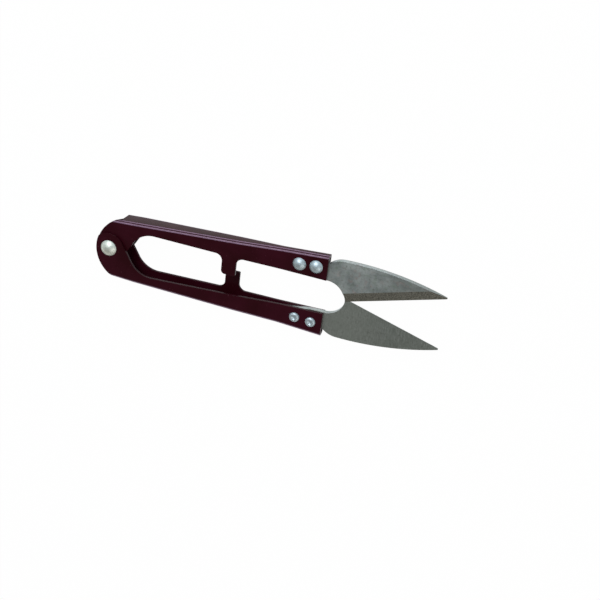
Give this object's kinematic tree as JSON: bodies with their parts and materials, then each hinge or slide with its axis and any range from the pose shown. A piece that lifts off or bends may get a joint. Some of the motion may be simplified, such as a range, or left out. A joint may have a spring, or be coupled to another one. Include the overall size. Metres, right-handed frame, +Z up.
{
  "type": "thread snips",
  "caption": "Spring-open thread snips: folded steel handles pivoted at the tail, with riveted blades that shear when squeezed.",
  "frame": {"origin": "middle of the bounding box at the level of the lowest rivet tail", "axes": "+X from the pivot at the tail to the blade tips, +Y across to the half that moves, +Z up out of the plane the blades lie in"},
  "size_m": [0.1006, 0.0254, 0.0088],
  "materials": {
    "handle_paint": "glossy dark maroon paint",
    "blade_steel": "dull brushed steel with a ground bevel",
    "rivet_steel": "bright, domed heads",
    "spring_steel": "drawn wire"
  },
  "bodies": {
    "lower_half": {"lower_handle": "handle_paint", "lower_blade": "blade_steel", "lower_rear_rivet": "rivet_steel", "lower_front_rivet": "rivet_steel", "pivot_rivet": "rivet_steel", "torsion_spring": "spring_steel"},
    "upper_half": {"upper_handle": "handle_paint", "upper_blade": "blade_steel", "upper_rear_rivet": "rivet_steel", "upper_front_rivet": "rivet_steel"}
  },
  "joints": [
    {"name": "handle_squeeze", "type": "hinge", "parent": "lower_half", "child": "upper_half", "pos_m": [-0.04654, 0, 0.0042], "axis": [0, 0, -1], "range_deg": [0, 9.3], "stiffness_Nm_per_rad": 0.4, "deforming": ["torsion_spring"]}
  ]
}
